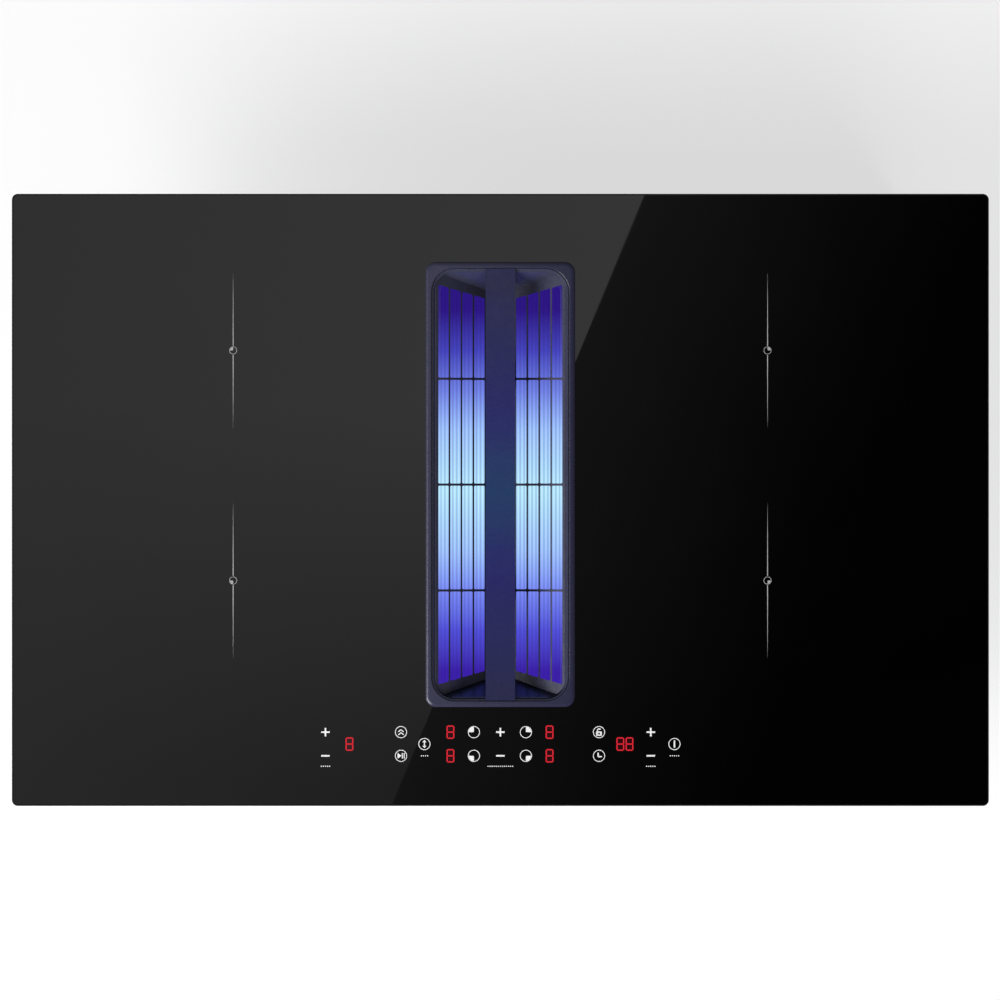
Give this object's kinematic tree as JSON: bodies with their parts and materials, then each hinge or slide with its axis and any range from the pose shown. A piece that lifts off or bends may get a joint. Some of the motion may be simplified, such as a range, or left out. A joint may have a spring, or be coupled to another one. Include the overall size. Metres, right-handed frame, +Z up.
{
  "type": "downdraft induction cooktop",
  "caption": "Built-in black glass induction cooktop with a central louvred downdraft intake, lift-out grease filter, overflow tray and a blower with a flat rear outlet.",
  "frame": {"origin": "centre of the worktop cut-out on the worktop surface, which the sealing tape under the glass rests on", "axes": "+Z up, +Y to the back of the cooktop, away from the touch controls, +X to the right of someone who stands at the controls"},
  "size_m": [0.83, 0.52, 0.2145],
  "materials": {
    "black_glass": "gloss",
    "foam_tape": "matte",
    "zinc_sheet": "satin",
    "screw_steel": "satin",
    "dark_cast_metal": "satin",
    "black_rubber": "matte",
    "black_plastic": "satin",
    "grey_plastic": "satin",
    "filter_metal": "satin",
    "steel_pan": "satin",
    "motor_case": "satin",
    "heat_sink_metal": "satin",
    "circuit_board": "satin",
    "capacitor_case": "gloss",
    "choke_winding": "satin",
    "red_display": "gloss",
    "white_print": "matte",
    "touch_foam": "matte",
    "mica": "matte",
    "carrier_metal": "satin",
    "coil_winding": "satin",
    "ferrite": "matte"
  },
  "bodies": {
    "hob": {"blower_scroll": "black_plastic", "bus_capacitors": "capacitor_case", "cable_gland": "black_plastic", "casing_tray": "zinc_sheet", "coil_carrier_front_left": "carrier_metal", "coil_carrier_front_right": "carrier_metal", "coil_carrier_rear_left": "carrier_metal", "coil_carrier_rear_right": "carrier_metal", "coil_deck_left": "zinc_sheet", "coil_deck_right": "zinc_sheet", "coil_front_left": "coil_winding", "coil_front_right": "coil_winding", "coil_rear_left": "coil_winding", "coil_rear_right": "coil_winding", "coil_sensors": "grey_plastic", "control_tray": "black_plastic", "cooling_fan_case_left": "black_plastic", "cooling_fan_case_right": "black_plastic", "digit_displays": "red_display", "ferrites_front_left": "ferrite", "ferrites_front_right": "ferrite", "ferrites_rear_left": "ferrite", "ferrites_rear_right": "ferrite", "glass_frame": "zinc_sheet", "glass_top": "black_glass", "heat_sink_left": "heat_sink_metal", "heat_sink_right": "heat_sink_metal", "inlet_plate": "black_plastic", "intake_shaft": "black_plastic", "leaf_springs": "screw_steel", "line_chokes": "choke_winding", "lower_duct": "black_plastic", "mica_front_left": "mica", "mica_front_right": "mica", "mica_rear_left": "mica", "mica_rear_right": "mica", "motor": "motor_case", "motor_lead": "black_rubber", "outlet_spigot": "black_plastic", "panhead_screws": "screw_steel", "power_board_left": "circuit_board", "power_board_right": "circuit_board", "rim_seal": "foam_tape", "shaft_gasket": "black_rubber", "suction_chamber": "black_plastic", "terminal_block": "grey_plastic", "touch_board": "circuit_board", "touch_pads": "touch_foam", "worktop_springs": "zinc_sheet"},
    "intake_grille": {"intake_frame": "dark_cast_metal", "louvre_basket": "dark_cast_metal", "centre_bar": "dark_cast_metal", "grille_pads": "black_rubber"},
    "grease_filter": {"filter_frame": "filter_metal", "filter_media": "filter_metal"},
    "overflow_tray": {"overflow_tray": "steel_pan"},
    "blower_wheel": {"impeller": "grey_plastic", "motor_shaft": "screw_steel"},
    "cooling_rotor_left": {"cooling_rotor_left": "black_plastic"},
    "cooling_rotor_right": {"cooling_rotor_right": "black_plastic"}
  },
  "joints": [
    {"name": "grille_lift", "type": "slide", "parent": "hob", "child": "intake_grille", "axis": [0, 0, 1], "range_m": [0, 0.24]},
    {"name": "filter_lift", "type": "slide", "parent": "hob", "child": "grease_filter", "axis": [0, 0, 1], "range_m": [0, 0.12]},
    {"name": "tray_pull", "type": "slide", "parent": "hob", "child": "overflow_tray", "axis": [0, -1, 0], "range_m": [0, 0.4]},
    {"name": "blower_spin", "type": "hinge", "parent": "hob", "child": "blower_wheel", "pos_m": [0.185, 0, -0.15], "axis": [0, 0, 1], "continuous": true},
    {"name": "fan_spin_left", "type": "hinge", "parent": "hob", "child": "cooling_rotor_left", "pos_m": [-0.12, 0.188, -0.04], "axis": [0, 0, 1], "continuous": true},
    {"name": "fan_spin_right", "type": "hinge", "parent": "hob", "child": "cooling_rotor_right", "pos_m": [0.12, 0.188, -0.04], "axis": [0, 0, 1], "continuous": true}
  ],
  "couplings": [
    {"joint": "filter_lift", "follows": "grille_lift", "ratio": 0.5}
  ]
}
